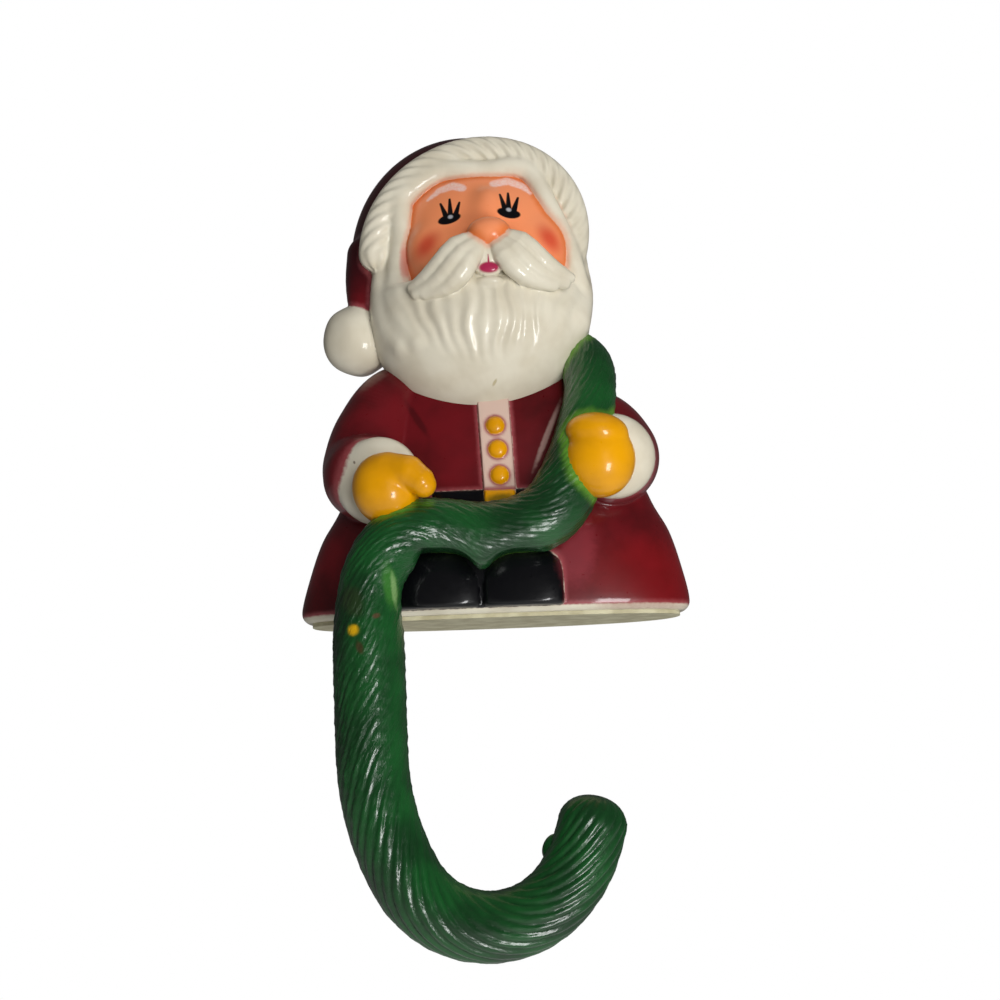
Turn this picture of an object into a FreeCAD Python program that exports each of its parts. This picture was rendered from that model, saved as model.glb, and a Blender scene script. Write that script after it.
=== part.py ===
"""Mantel stocking holder: a hollow moulded figure in a robe whose garland runs on into a hook.

Millimetres. +X is the viewer's right, -Y is the front and +Z is up. The origin is the middle of
the base plate's underside, which stands on the mantel.
"""
import FreeCAD, Part
import math
import os

V = FreeCAD.Vector

# Robe: widths run along X, depths along Y, heights are above the mantel
HEM_WIDTH = 99.8
HEM_DEPTH = 42.0
HEM_HEIGHT = 4.0           # of the widest line, above the rounded rim
HEM_ROUNDING = 1.0         # how much narrower the rim is on each side
WAIST_WIDTH = 79.8
WAIST_DEPTH = 38.0
WAIST_HEIGHT = 30.8
WAIST_SHIFT = 0.85          # towards the viewer's right
CHEST_WIDTH = 66.0
CHEST_DEPTH = 36.0
CHEST_HEIGHT = 49.0
NECK_WIDTH = 42.0
NECK_DEPTH = 30.0
NECK_HEIGHT = 68.0
ROBE_SQUARENESS = 2.5      # exponent of the oval sections, 2 is an ellipse
ROBE_FORWARD = 5.0         # how far the widest line lies in front of the middle
WALL = 2.4
CAVITY_HEIGHT = 46.0

# Base plate and ballast
PLATE_THICKNESS = 2.4
PLATE_PROUD = 1.0          # how far the plate stands out below the rim
PLATE_CLEARANCE = 0.15
LEDGE = 1.2                # width of the step that the plate is glued to
BALLAST_WIDTH = 46.0
BALLAST_DEPTH = 22.0
BALLAST_HEIGHT = 20.0
BALLAST_SHIFT = 3.0        # towards the back, away from the hook

# Head: the hat, face and beard are ovals, the rest is laid on them
HEAD_HEIGHT = 98.2         # of the fur roll's middle
HAT = (62.8, 33.0, 68.4)
HAT_LEAN = -3.0            # degrees
FACE = (48.0, 30.8, 45.0)
BEARD = (57.2, 39.0, 52.8)
BEARD_TOP = 88.5           # height of its upper edge in the middle
BEARD_TOP_RISE = 5.1       # degrees, up towards the viewer's right
LOCKS = 7
POMPOM = (19.0, 18.4, 19.2)
NOSE = (11.0, 10.0, 8.4)

# Fur roll round the face, a leaning oval arch of twisted strands
ROLL_WIDTH = 53.2          # between the roll's middle lines
ROLL_HEIGHT = 46.4
ROLL_LEAN = 32.7           # degrees
ROLL_ENDS = (-49.0, 148.0)
ROLL_OFFSET = -2.3
ROLL_FORWARD = 12.0
ROLL_RADIUS = 4.5
ROLL_STRANDS = 7
ROLL_GROOVE = 0.5
ROLL_LEAD = 27.0           # length of one turn of a strand

# Hands: mittens and cuffs as width, depth and height
CUFF = (21.8, 13.2, 22.0)
LEFT_MITTEN = (16.6, 16.4, 18.2)
RIGHT_MITTEN = (17.8, 16.0, 19.2)
RIGHT_THUMB = (16.0, 13.2, 9.8)

# Buttons, belt and boots
PLACKET_WIDTH = 8.0
BUTTON = 4.5
BUTTON_PITCH = 6.5
BELT_BOTTOM = 28.4
BELT_HEIGHT = 3.9
BOOT_WIDTH = 20.4
BOOT_HEIGHT = 15.0
BOOT_MIDDLE = -3.2         # X of the crease between the boots
BOOT_PROUD = 2.6
BARE_RIM = 2.4             # height of the soles, above the bare rim
RELIEF = 1.0               # how far flat ornaments stand out of the robe

# Hook, and the garland's middle line with its radius, from behind the beard to the shank
HOOK_RADIUS = 8.75
STRANDS = 18
GROOVE = 0.55              # depth of the grooves between the strands
LEAD = 105.0               # length of one turn of a strand
MANTEL_GAP = 2.4           # from the plate's front edge to the back of the hook
SHANK_OFFSET = -31.35
SHANK_START = -2.0         # where the free strands begin, just below the base
SHANK_END = -33.0
BENDS = ((66.0, 27.5), (22.9, 111.0), (34.0, 32.0))
NUB = (6.8, 4.6, 4.4)
HOOK_PLANE = -(HEM_DEPTH / 2 + MANTEL_GAP + HOOK_RADIUS)
SHANK_CORE = HOOK_RADIUS - GROOVE - 0.15
GARLAND = (
    (19.0, -2.0, 74.0, 3.4), (23.4, -8.0, 69.6, 5.4), (26.0, -13.5, 64.2, 6.7),
    (26.1, -18.0, 57.0, 6.5), (24.9, -21.5, 50.0, 6.8), (23.2, -23.5, 43.0, 7.3),
    (20.6, -25.0, 35.0, 7.9), (15.2, -26.0, 25.6, 8.3), (7.0, -26.5, 21.6, 7.9),
    (-2.8, -27.0, 20.2, 7.8), (-11.5, -28.0, 21.4, 7.8), (-19.0, -29.5, 21.3, 7.9),
    (-25.4, -31.0, 17.6, 7.9), (-29.4, -32.0, 11.5, 7.6), (-31.0, HOOK_PLANE, 5.0, 7.6),
    (SHANK_OFFSET, HOOK_PLANE, SHANK_START, SHANK_CORE), (SHANK_OFFSET, HOOK_PLANE, SHANK_START - 2.0, SHANK_CORE),
)


def middle_shift(height):
    """Return the X of the robe's middle at a height."""
    return WAIST_SHIFT * max(0.0, 1 - abs(height - WAIST_HEIGHT) / (WAIST_HEIGHT - HEM_HEIGHT))


def oval(width, depth, height, points=28):
    """Return a closed smooth wire, a squared oval whose widest line lies in front of its middle."""
    ring = []
    shift = middle_shift(height)
    power = 2 / ROBE_SQUARENESS
    for i in range(points):
        angle = 2 * math.pi * i / points
        c, s = math.cos(angle), math.sin(angle)
        reach = depth / 2 + ROBE_FORWARD if s > 0 else depth / 2 - ROBE_FORWARD
        x = width / 2 * math.copysign(abs(c) ** power, c)
        y = reach * math.copysign(abs(s) ** power, s) - ROBE_FORWARD
        ring.append(V(x + shift, y, height))
    curve = Part.BSplineCurve()
    curve.interpolate(ring, PeriodicFlag=True)
    return Part.Wire(curve.toShape())


def robe_rows():
    """Return the robe's sections as height, width and depth, from the rim up to the neck."""
    rim = 2 * HEM_ROUNDING
    return [
        (PLATE_PROUD, HEM_WIDTH - rim, HEM_DEPTH - rim),
        (HEM_HEIGHT, HEM_WIDTH, HEM_DEPTH),
        (WAIST_HEIGHT * 0.38, HEM_WIDTH * 0.965, HEM_DEPTH * 1.02),
        (WAIST_HEIGHT * 0.7, (HEM_WIDTH + WAIST_WIDTH) / 2, (HEM_DEPTH + WAIST_DEPTH) / 2 + 1),
        (WAIST_HEIGHT, WAIST_WIDTH, WAIST_DEPTH),
        (CHEST_HEIGHT, CHEST_WIDTH, CHEST_DEPTH),
        (NECK_HEIGHT, NECK_WIDTH, NECK_DEPTH),
    ]


def robe_size(height):
    """Return the robe's width and depth at a height."""
    rows = robe_rows()
    for low, high in zip(rows, rows[1:]):
        if height <= high[0]:
            share = max(0.0, (height - low[0]) / (high[0] - low[0]))
            return tuple(low[k] + (high[k] - low[k]) * share for k in (1, 2))
    return rows[-1][1], rows[-1][2]


def robe_front(x, height):
    """Return the Y of the robe's front surface at a place."""
    width, depth = robe_size(height)
    share = min(0.98, abs(x - middle_shift(height)) / (width / 2))
    reach = (depth / 2 - ROBE_FORWARD) * (1 - share ** ROBE_SQUARENESS) ** (1 / ROBE_SQUARENESS)
    return -ROBE_FORWARD - reach


def unit_ball():
    """Return a ball of radius 1 whose skin is a front and a back half, so no face closes on itself."""
    back = Part.makeSphere(1.0, V(0, 0, 0), V(0, 0, 1), -90, 90, 180)
    front = back.copy()
    front.rotate(V(0, 0, 0), V(0, 0, 1), 180)
    return front.fuse(back)


BALL = unit_ball()


def ellipsoid(centre, size, turn=0.0, roll=0.0):
    """Return an ellipsoid of full sizes along X, Y, Z, rolled about Y and turned about Z."""
    matrix = FreeCAD.Matrix()
    matrix.scale(size[0] / 2, size[1] / 2, size[2] / 2)
    matrix.rotateY(math.radians(roll))
    matrix.rotateZ(math.radians(turn))
    matrix.move(V(*centre))
    return BALL.transformGeometry(matrix)


def lobe(start, end):
    """Return an ellipsoid laid along a run between two places, each X, Y, Z and radius."""
    a, b = V(*start[:3]), V(*end[:3])
    across = (start[3] + end[3]) / 2
    matrix = FreeCAD.Matrix()
    matrix.scale(across, across, (b - a).Length / 2 + across)
    turn = FreeCAD.Placement((a + b) * 0.5, FreeCAD.Rotation(V(0, 0, 1), b - a)).toMatrix()
    return BALL.transformGeometry(turn * matrix)


def dome(place, heading, radius):
    """Return rings as place, heading and radius that round off an end."""
    ends = []
    for angle in (25, 48, 68):
        a = math.radians(angle)
        ends.append((place + heading * (radius * 0.8 * math.sin(a)), heading, radius * math.cos(a)))
    return ends


def tube(rows, spacing):
    """Return a round tube with domed ends along a smooth line through rows of X, Y, Z and radius."""
    places = [V(*row[:3]) for row in rows]
    curve = Part.BSplineCurve()
    curve.interpolate(places)
    marks = [curve.parameter(place) for place in places]
    steps = max(2, round(curve.length() / spacing))
    rings = []
    for i in range(steps + 1):
        at = curve.parameterAtDistance(curve.length() * i / steps, marks[0])
        k = max(j for j in range(len(marks) - 1) if marks[j] <= at + 1e-9)
        share = (at - marks[k]) / (marks[k + 1] - marks[k])
        radius = rows[k][3] + (rows[k + 1][3] - rows[k][3]) * share
        rings.append((curve.value(at), V(*curve.tangent(at)[0]), radius))
    place, heading, radius = rings[0]
    start = [(p, -h, r) for p, h, r in reversed(dome(place, -heading, radius))]
    wires = [Part.Wire(Part.makeCircle(r, p, h)) for p, h, r in start + rings + dome(*rings[-1])]
    return Part.makeLoft(wires, True)


def twisted(curve, radius, strands, groove, lead):
    """Return twisted strands swept along a curve, with flat ends; each strand turns once per lead."""
    first = curve.FirstParameter
    run = curve.length()
    steps = round(run / 1.4)
    guide = []
    for i in range(steps + 1):
        at = curve.parameterAtDistance(run * i / steps, first)
        heading = V(*curve.tangent(at)[0])
        side = V(0, -1, 0)
        other = heading.cross(side)
        angle = 2 * math.pi * run * i / steps / lead
        guide.append(curve.value(at) + side * (2 * radius * math.cos(angle)) + other * (2 * radius * math.sin(angle)))
    outer = Part.BSplineCurve()
    outer.interpolate(guide)
    heading = V(*curve.tangent(first)[0])
    side = V(0, -1, 0)
    other = heading.cross(side)
    ring = []
    for i in range(2 * strands):
        reach = radius - groove * (i % 2)
        angle = math.pi * i / strands
        ring.append(curve.value(first) + side * (reach * math.cos(angle)) + other * (reach * math.sin(angle)))
    sweep = Part.BRepOffsetAPI.MakePipeShell(Part.Wire(curve.toShape()))
    sweep.setAuxiliarySpine(Part.Wire(outer.toShape()), True, 0)
    sweep.add(Part.makePolygon(ring + [ring[0]]), False, False)
    sweep.build()
    sweep.makeSolid()
    return sweep.shape()


def robe():
    """Return the robe from the hem up to the neck, without the sleeves."""
    return Part.makeLoft([oval(w, d, z) for z, w, d in robe_rows()], True)


def sleeves():
    """Return both sleeves, each bent forward from the shoulder to the cuff."""
    return [
        lobe((-18.0, -6.5, 61.5, 7.0), (-26.5, -7.5, 54.5, 9.4)),
        lobe((-26.5, -7.5, 54.5, 10.0), (-31.5, -9.5, 44.5, 11.3)),
        lobe((-32.0, -9.5, 42.5, 11.3), (-31.8, -16.0, 36.8, 11.0)),
        lobe((18.0, -6.5, 57.5, 6.6), (25.0, -8.0, 50.5, 10.0)),
        lobe((24.6, -8.0, 50.2, 11.0), (30.0, -10.0, 44.5, 12.0)),
        lobe((30.8, -10.0, 42.5, 12.4), (31.0, -15.0, 39.5, 11.8)),
    ]


def hands():
    """Return the cuffs and the mittens, whose thumbs lie over the garland."""
    return [
        ellipsoid((-28.3, -23.0, 35.0), CUFF, turn=-12),
        ellipsoid((-26.2, -30.0, 31.9), LEFT_MITTEN, roll=-14),
        lobe((-25.0, -32.4, 35.6, 5.0), (-19.4, -35.0, 34.6, 4.4)),
        lobe((-19.4, -35.0, 34.6, 3.6), (-16.2, -35.6, 31.8, 2.9)),
        ellipsoid((31.0, -21.5, 39.4), CUFF, turn=12),
        ellipsoid((27.3, -28.5, 37.6), RIGHT_MITTEN),
        ellipsoid((26.4, -30.2, 44.8), RIGHT_THUMB, roll=6),
    ]


def robe_patch(left, right, bottom, top, proud):
    """Return a block that follows the robe's front and stands proud of it."""
    ring_low = oval(robe_size(bottom)[0] + 2 * proud, robe_size(bottom)[1] + 2 * proud, bottom)
    ring_high = oval(robe_size(top)[0] + 2 * proud, robe_size(top)[1] + 2 * proud, top)
    slab = Part.makeLoft([ring_low, ring_high], True)
    window = Part.makeBox(right - left, HEM_DEPTH, top - bottom, V(left, -HEM_DEPTH, bottom))
    return slab.common(window)


def front_ornaments():
    """Return the placket with its buttons, the belt and the buckle."""
    belt_top = BELT_BOTTOM + BELT_HEIGHT
    left = 1.6 - PLACKET_WIDTH / 2
    pieces = [
        robe_patch(left, left + PLACKET_WIDTH, belt_top - 1, CHEST_HEIGHT + 8, RELIEF),
        robe_patch(-15.0, 12.5, BELT_BOTTOM, belt_top, RELIEF * 0.8),
        robe_patch(left + 0.4, left + PLACKET_WIDTH, BELT_BOTTOM - 0.6, belt_top - 0.4, RELIEF * 1.7),
    ]
    for i in range(3):
        z = belt_top + 3.6 + BUTTON_PITCH * i
        x = 2.2 - 0.35 * i
        pieces.append(ellipsoid((x, robe_front(x, z) - RELIEF, z), (BUTTON, 2.5, BUTTON)))
    return pieces


def boots():
    """Return the two boots, which fill the opening of the robe under the garland."""
    pieces = []
    for side in (-1, 1):
        left = BOOT_MIDDLE - BOOT_WIDTH if side < 0 else BOOT_MIDDLE
        middle = left + BOOT_WIDTH / 2
        front = robe_front(middle, BARE_RIM + BOOT_HEIGHT / 2)
        block = Part.makeBox(BOOT_WIDTH, 12, BOOT_HEIGHT, V(left, front - BOOT_PROUD, BARE_RIM))
        form = ellipsoid((middle, front + 1.0, BARE_RIM), (26.8, 12.0, BOOT_HEIGHT * 2))
        pieces.append(block.common(form))
    return pieces


def beard_front(x, z):
    """Return the Y of the beard's front at a place."""
    share = ((x + 1.4) / (BEARD[0] / 2)) ** 2 + ((z - 78.5) / (BEARD[2] / 2)) ** 2
    return -9.0 - BEARD[1] / 2 * math.sqrt(max(0.0, 1 - share))


def beard():
    """Return the beard with its locks, cut off along a slanting line below the face."""
    full = ellipsoid((-1.4, -9.0, 78.5), BEARD).fuse(ellipsoid((2.0, -11.5, 78.0), (42.0, 36.8, 30.0)))
    wide = 2 * BEARD[0]
    under = Part.makeBox(wide, wide, wide, V(-wide / 2, -wide / 2, -wide))
    under.rotate(V(0, 0, 0), V(0, 1, 0), -BEARD_TOP_RISE)
    under.translate(V(0, 0, BEARD_TOP))
    pieces = [full.common(under)]
    for i in range(LOCKS):
        top = -18.0 + 38.0 * i / (LOCKS - 1)
        low = 2.0 + (top - 2.0) * 0.8
        pieces.append(lobe(
            (top, beard_front(top, 80.0) + 1.3, 80.0, 2.0), (low, beard_front(low, 70.0) + 1.5, 70.0, 2.0)))
    return pieces


def face():
    """Return the face with its nose, cheeks and lips."""
    return [
        ellipsoid((1.2, -8.6, 95.5), FACE),
        ellipsoid((0.0, -8.0, 104.0), (44.0, 22.0, 30.0)),
        ellipsoid((1.7, -20.8, 101.5), (7.2, 8.0, 16.0)),
        ellipsoid((1.7, -27.0, 97.0), NOSE),
        ellipsoid((-13.0, -17.3, 95.0), (12.0, 10.0, 13.0)),
        ellipsoid((15.0, -17.3, 95.5), (12.0, 10.0, 13.0)),
        ellipsoid((1.4, -29.0, 90.8), (6.8, 4.0, 6.8)),
        ellipsoid((1.8, -28.6, 83.9), (6.8, 4.4, 3.2)),
    ]


def moustache():
    """Return the two sides of the moustache, four strands each."""
    strands = (
        ((-2.1, -29.0, 95.2, 1.9), (-10.6, -29.0, 89.2, 2.6), (-18.0, -24.4, 83.2, 1.6)),
        ((-1.2, -29.6, 94.2, 1.9), (-8.9, -30.0, 86.9, 2.7), (-16.2, -25.6, 82.0, 1.6)),
        ((-0.6, -29.8, 93.0, 1.8), (-6.2, -30.6, 85.4, 2.6), (-12.6, -27.0, 81.2, 1.6)),
        ((5.3, -29.0, 95.6, 1.9), (13.5, -29.0, 90.4, 2.6), (22.0, -23.6, 85.4, 1.6)),
        ((4.3, -29.6, 94.4, 1.9), (11.3, -30.0, 87.7, 2.7), (20.0, -24.8, 83.4, 1.6)),
        ((3.3, -29.8, 93.2, 1.8), (8.2, -30.6, 86.5, 2.6), (16.0, -26.6, 82.6, 1.6)),
    )
    pieces = []
    for start, middle, end in strands:
        pieces += [lobe(start, middle), lobe(middle, end)]
    return pieces


def hair():
    """Return the band of hair that frames the face and the waves beside the beard."""
    band = (
        (-22.6, -13.6, 80.0, 3.4), (-22.0, -14.0, 89.5, 3.6), (-21.4, -14.2, 99.0, 3.3), (-20.2, -14.2, 108.0, 2.9),
        (-13.0, -14.6, 115.6, 2.8), (-4.0, -15.2, 116.7, 2.7), (6.0, -15.4, 117.2, 2.7), (14.4, -15.2, 113.4, 2.8),
        (19.6, -14.8, 106.0, 2.8), (23.0, -14.4, 97.0, 2.8), (24.8, -14.0, 88.0, 2.6),
    )
    return [lobe(start, end) for start, end in zip(band, band[1:])] + [
        lobe((-27.0, -10.5, 91.0, 3.5), (-26.6, -13.0, 80.0, 4.0)),
        lobe((-26.0, -14.0, 79.0, 3.8), (-21.0, -18.6, 71.0, 3.4)),
        lobe((-22.0, -15.5, 85.0, 3.3), (-17.4, -21.4, 72.0, 3.0)),
        lobe((24.6, -10.5, 90.0, 3.2), (23.4, -13.6, 77.0, 4.4)),
    ]


def roll():
    """Return the fur roll with rounded ends."""
    lean = math.radians(ROLL_LEAN)
    steps = 30
    places = []
    for i in range(steps + 1):
        t = math.radians(ROLL_ENDS[0] + (ROLL_ENDS[1] - ROLL_ENDS[0]) * i / steps)
        u, w = ROLL_WIDTH / 2 * math.cos(t), ROLL_HEIGHT / 2 * math.sin(t)
        x = ROLL_OFFSET + u * math.cos(lean) - w * math.sin(lean)
        z = HEAD_HEIGHT + u * math.sin(lean) + w * math.cos(lean)
        places.append(V(x, -ROLL_FORWARD, z))
    curve = Part.BSplineCurve()
    curve.interpolate(places)
    pieces = [twisted(curve, ROLL_RADIUS, ROLL_STRANDS, ROLL_GROOVE, ROLL_LEAD)]
    for place in (places[0], places[-1]):
        size = 2 * (ROLL_RADIUS - ROLL_GROOVE) - 0.5
        pieces.append(ellipsoid(tuple(place), (size, size, size)))
    return pieces


def hat():
    """Return the hat's crown, its tail down the left side with the pompom, and the neck."""
    return [
        ellipsoid((-4.0, 3.5, 97.2), HAT, roll=HAT_LEAN),
        lobe((-30.4, -4.0, 98.0, 5.9), (-31.2, -6.5, 86.0, 5.2)),
        lobe((-31.2, -6.5, 86.0, 4.4), (-30.4, -10.5, 74.0, 3.0)),
        lobe((-30.4, -10.5, 74.0, 2.8), (-29.4, -11.0, 66.0, 2.4)),
        ellipsoid((-33.4, -5.0, 75.2), POMPOM),
        ellipsoid((0.0, -3.0, 66.0), (38.0, 26.0, 28.0)),
    ]


def garland():
    """Return the garland that lies on the robe, from behind the beard down to the shank."""
    return tube(GARLAND, 6.0)


def hook_path():
    """Return the places and headings of the hook's middle line."""
    place = V(SHANK_OFFSET, HOOK_PLANE, SHANK_START)
    steps = 8
    drop = V(0, 0, (SHANK_END - SHANK_START) / steps)
    rows = [(place + drop * i, -math.pi / 2) for i in range(steps + 1)]
    place = place + drop * steps
    heading = -math.pi / 2
    for bend, turn in BENDS:
        count = max(3, round(turn / 6))
        step = math.radians(turn) / count
        for i in range(count):
            middle = heading + step / 2
            place = place + V(math.cos(middle), 0, math.sin(middle)) * (2 * bend * math.sin(step / 2))
            heading += step
            rows.append((place, heading))
    return rows


def hook():
    """Return the free hook: twisted strands, a rounded tip and the nub that keeps a loop on."""
    rows = hook_path()
    curve = Part.BSplineCurve()
    curve.interpolate([place for place, heading in rows])
    place, heading = rows[-1]
    tip = V(math.cos(heading), 0, math.sin(heading))
    core = 2 * (HOOK_RADIUS - GROOVE) - 0.6
    cap = lobe((*(place - tip * 2), core / 2), (*(place - tip * 0.5), core / 2))
    place, heading = rows[-4]
    inward = V(-math.sin(heading), 0, math.cos(heading))
    centre = place + inward * (HOOK_RADIUS - 0.7) + V(0, 1.5, 0)
    bump = ellipsoid(tuple(centre), NUB, roll=-math.degrees(heading))
    return [twisted(curve, HOOK_RADIUS, STRANDS, GROOVE, LEAD), cap, bump]


def cavity():
    """Return the hollow under the robe, with the rebate that the base plate sits in."""
    rows = []
    steps = 6
    low = PLATE_THICKNESS
    for i in range(steps):
        z = low + (CAVITY_HEIGHT - low) * i / (steps - 1)
        width, depth = robe_size(z)
        rows.append(oval(width - 2 * (WALL + LEDGE), depth - 2 * (WALL + LEDGE), z))
    hollow = Part.makeLoft(rows, True)
    edge_low = oval(HEM_WIDTH - 2 * WALL, HEM_DEPTH - 2 * WALL, -PLATE_PROUD)
    edge_high = oval(HEM_WIDTH - 2 * WALL, HEM_DEPTH - 2 * WALL, PLATE_THICKNESS)
    rebate = Part.makeLoft([edge_low, edge_high], True)
    return rebate.fuse(hollow)


def joined(pieces):
    """Return the union of pieces that overlap."""
    return pieces[0].multiFuse(pieces[1:])


def figure_and_hook():
    """Return the whole moulding."""
    body = joined([robe()] + sleeves() + hands() + front_ornaments() + boots())
    head = joined(beard() + face() + moustache() + hair() + roll() + hat())
    rope = joined([garland()] + hook())
    return body.fuse(head).fuse(rope).cut(cavity())


def base_plate():
    """Return the plate that closes the hollow; it lies in the rebate, a little proud of the rim."""
    width = HEM_WIDTH - 2 * WALL - 2 * PLATE_CLEARANCE
    depth = HEM_DEPTH - 2 * WALL - 2 * PLATE_CLEARANCE
    return Part.makeLoft([oval(width, depth, 0), oval(width, depth, PLATE_THICKNESS)], True)


def ballast_weight():
    """Return the steel slug that stands on the plate inside the hollow."""
    corner = V(-BALLAST_WIDTH / 2, BALLAST_SHIFT - BALLAST_DEPTH / 2, PLATE_THICKNESS)
    block = Part.makeBox(BALLAST_WIDTH, BALLAST_DEPTH, BALLAST_HEIGHT, corner)
    upright = [e for e in block.Edges if e.BoundBox.ZLength > BALLAST_HEIGHT / 2]
    return block.makeFillet(4.0, upright)


def main():
    """Build every sub-part and write it as STEP."""
    os.makedirs("parts", exist_ok=True)
    for build in (figure_and_hook, base_plate, ballast_weight):
        shape = build()
        name = build.__name__
        print(name, "solids", len(shape.Solids), "valid", shape.isValid(), "volume", round(shape.Volume))
        shape.exportStep("parts/" + name + ".step")


main()
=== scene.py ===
"""Looks of the mantel stocking holder: a painted hollow figure whose garland runs on into a hook.

Shapes are given in millimetres in the part's own frame and turned into metres when a mesh is made.
Each moulded form is a field of distances; its skin is found on a fine grid and laid exactly on the
field. The paint of each form is kept with the skin as a distance to where that paint ends.
"""

import math

import bpy
import numpy as np
from mathutils import Matrix, Vector


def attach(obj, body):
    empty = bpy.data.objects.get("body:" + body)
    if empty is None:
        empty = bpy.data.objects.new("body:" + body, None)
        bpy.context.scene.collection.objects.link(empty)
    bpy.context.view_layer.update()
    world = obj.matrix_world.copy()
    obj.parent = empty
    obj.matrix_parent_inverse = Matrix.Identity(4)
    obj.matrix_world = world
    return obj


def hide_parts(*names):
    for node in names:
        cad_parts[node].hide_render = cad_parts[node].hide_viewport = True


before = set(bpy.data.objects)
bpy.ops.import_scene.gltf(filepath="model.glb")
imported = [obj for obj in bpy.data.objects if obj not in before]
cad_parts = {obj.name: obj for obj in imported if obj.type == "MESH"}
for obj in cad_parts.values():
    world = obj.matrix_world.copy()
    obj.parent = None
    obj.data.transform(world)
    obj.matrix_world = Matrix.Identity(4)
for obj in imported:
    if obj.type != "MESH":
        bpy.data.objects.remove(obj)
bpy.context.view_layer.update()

MM = 0.001
PAINTS = ("maroon", "white", "skin", "gold", "black", "pink")
FAR = 50.0  # a distance well beyond every form, in millimetres

# Grid
GRID_STEP = 0.53
BLOCK = 4  # cells along one side of a block of the coarse pass
CREASE = 0.35  # rounding where two forms meet

# Robe: height, width and depth of its squared oval sections
ROBE_ROWS = (
    (1.0, 97.8, 40.0), (4.0, 99.8, 42.0), (11.7, 96.3, 42.8), (21.6, 89.8, 41.0),
    (30.8, 79.8, 38.0), (49.0, 66.0, 36.0), (69.0, 42.0, 30.0),
)
ROBE_SQUARENESS = 2.5
ROBE_FORWARD = 5.0
ROBE_TOP = 68.0
WAIST_HEIGHT = 30.8
WAIST_SHIFT = 0.85  # of the waist's middle towards the viewer's right
SHIFT_REACH = 26.8
RIM_TOP = 2.4  # the bare rim below the paint
RELIEF = 1.0

# Sleeves: X, Y, Z and radius from the shoulder to the cuff
SLEEVES = (
    ((-15.0, -6.0, 63.0, 5.0), (-24.4, -7.0, 58.2, 8.8), (-29.6, -8.5, 48.7, 10.8),
     (-31.9, -10.5, 41.0, 11.2), (-31.8, -16.0, 37.0, 11.0)),
    ((15.0, -6.0, 60.5, 5.0), (22.0, -7.0, 52.8, 9.0), (28.2, -9.0, 46.8, 11.2),
     (31.0, -11.0, 41.2, 12.2), (31.0, -15.0, 39.4, 11.6)),
)

# Cuffs and mittens: middle and half sizes, and degrees where they turn or lean
LEFT_CUFF = ((-28.3, -23.0, 35.0), (10.9, 6.6, 11.2))
RIGHT_CUFF = ((31.0, -21.5, 39.4), (10.9, 6.6, 10.9))
CUFF_TURN = 12
LEFT_PALM = ((-26.2, -30.0, 31.9), (8.3, 8.2, 9.1))
LEFT_PALM_LEAN = -14
LEFT_THUMB = (
    (-25.0, -32.4, 35.6, 5.0), (-20.4, -34.8, 35.0, 4.4), (-17.4, -35.6, 32.9, 3.6),
    (-16.6, -35.6, 31.8, 3.2),
)
RIGHT_PALM = ((27.3, -28.5, 37.6), (8.9, 8.0, 9.6))
RIGHT_THUMB = ((26.8, -29.7, 44.4), (7.8, 6.7, 4.8))
RIGHT_THUMB_LEAN = 6

# Details of the robe's front: X and Z of opposite corners, or of a middle
BUTTONS = ((1.5, 48.8), (1.9, 42.6), (2.2, 35.9))
BUTTON_SIZE = (2.25, 1.25, 2.25)
BUCKLE = ((-1.8, 27.6), (5.8, 31.9))
BELT = ((-15.0, 28.4), (12.5, 32.3))
PLACKET = ((-2.4, 31.0), (5.6, 58.0))
PLACKET_LEAN = -0.04  # sideways per millimetre of height

# Boots: X of the left and right edge, and the top
BOOTS = ((-25.0, -3.2, 18.6), (-3.2, 17.2, 18.4))
BOOT_LEVEL = 8.0  # height at which a boot is set against the robe
BOOT_PROUD = 3.4
BOOT_SUNK = 6.0
BOOT_DOME = (13.6, 6.7)  # half width and half depth of the dome that rounds a boot
BOOT_DOME_LEVEL = 6.5
BOOT_DOME_DROP = 5.6  # of the dome's half height below the boot's top
BOOT_SHADOWS = (((-22.5, RIM_TOP), (14.5, 11.5)), ((-16.0, RIM_TOP), (9.5, 15.5)))

# Hat: middle and half sizes, and X, Y, Z and radius down its tail
HAT = ((-4.0, 3.5, 97.2), (31.4, 16.5, 34.2))
HAT_LEAN = -3
HAT_TAIL = (
    (-30.4, -4.0, 98.0, 5.6), (-31.2, -5.0, 91.0, 5.3), (-31.2, -6.5, 84.0, 4.6),
    (-30.6, -8.0, 78.0, 3.0),
)
NECK_FORMS = (((0.0, -3.0, 66.0), (19.0, 13.0, 14.0), 2.0),)
POMPOM = ((-33.4, -5.0, 75.2), (9.5, 9.2, 9.6))
POMPOM_FOLDS = 0.15

# Fur roll round the face: an oval in the X and Z plane, with its ends in degrees from its long axis
ROLL_CENTRE = (-2.3, -12.0, 98.2)
ROLL_SIZE = (26.6, 23.2)
ROLL_LEAN = 32.7
ROLL_ENDS = (-49.0, 148.0)
ROLL_RADIUS = 4.5
ROLL_STRANDS = 7
ROLL_LEAD = 27.0  # length in which a strand turns once round the roll
ROLL_GROOVE = 0.72
ROLL_CLEAREST = 0.9  # where along the roll, in radians, the grooves are deepest

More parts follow.
